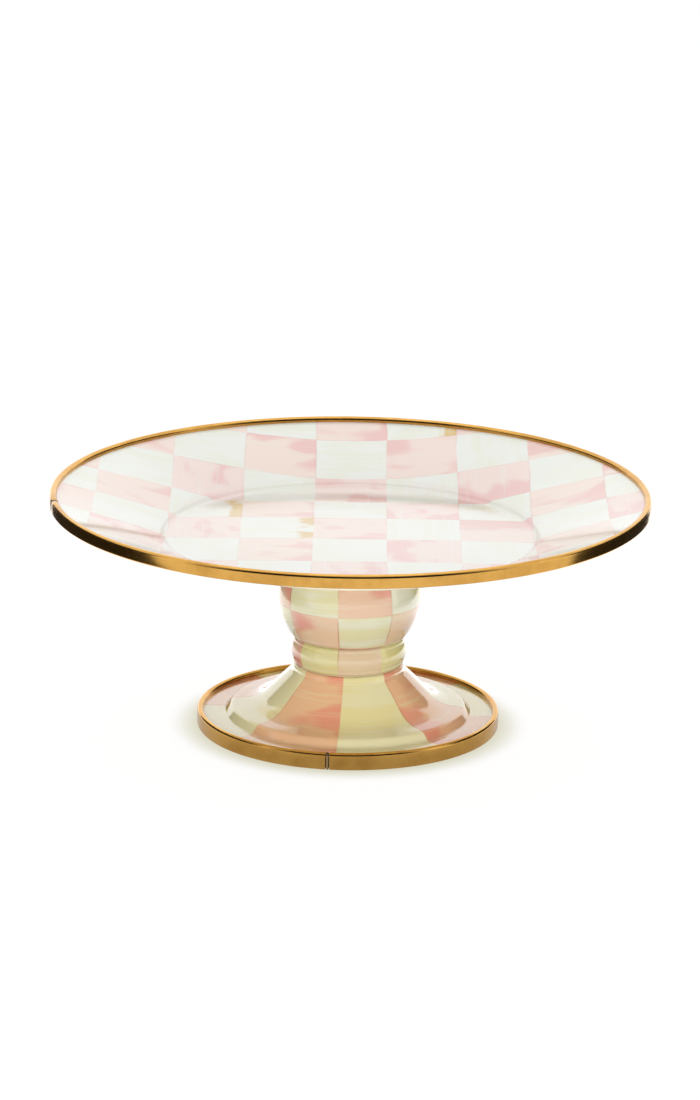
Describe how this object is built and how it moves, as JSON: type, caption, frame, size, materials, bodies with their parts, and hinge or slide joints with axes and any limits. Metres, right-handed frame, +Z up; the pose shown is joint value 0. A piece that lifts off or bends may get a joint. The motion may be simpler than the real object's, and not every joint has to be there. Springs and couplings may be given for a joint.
{
  "type": "cake stand",
  "caption": "Footed round cake stand: an enamelled steel plate with a flat well, on a hollow bulb, collar and bell foot, with rolled metal rims.",
  "frame": {"origin": "centre of the ring that the foot rests on, on the table surface", "axes": "+Z up along the axis of the stand; -Y is the front, where the joint of the foot's rim is"},
  "size_m": [0.3048, 0.3048, 0.1235],
  "materials": {
    "enamel": "glossy vitreous enamel, hand-painted in pale pink and cream checks",
    "bronze_rim": "polished, bronze-toned, with fine lengthwise rolling marks",
    "bare_steel": "dull, heat-darkened from firing",
    "zinc_steel": "zinc plated, satin",
    "gasket": "matte"
  },
  "bodies": {
    "root": {"plate": "enamel", "plate_rim": "bronze_rim", "plate_rim_joiner": "bronze_rim", "plate_boss": "bare_steel", "tie_stud": "zinc_steel", "top_gasket": "gasket", "bulb": "enamel", "upper_collar_gasket": "gasket", "collar": "enamel", "lower_collar_gasket": "gasket", "foot": "enamel", "foot_rim": "bronze_rim", "foot_rim_joiner": "bronze_rim", "shelf_gasket": "gasket", "clamp_dish": "zinc_steel", "flat_washer": "zinc_steel", "lock_washer": "zinc_steel", "hex_nut": "zinc_steel"}
  },
  "joints": []
}
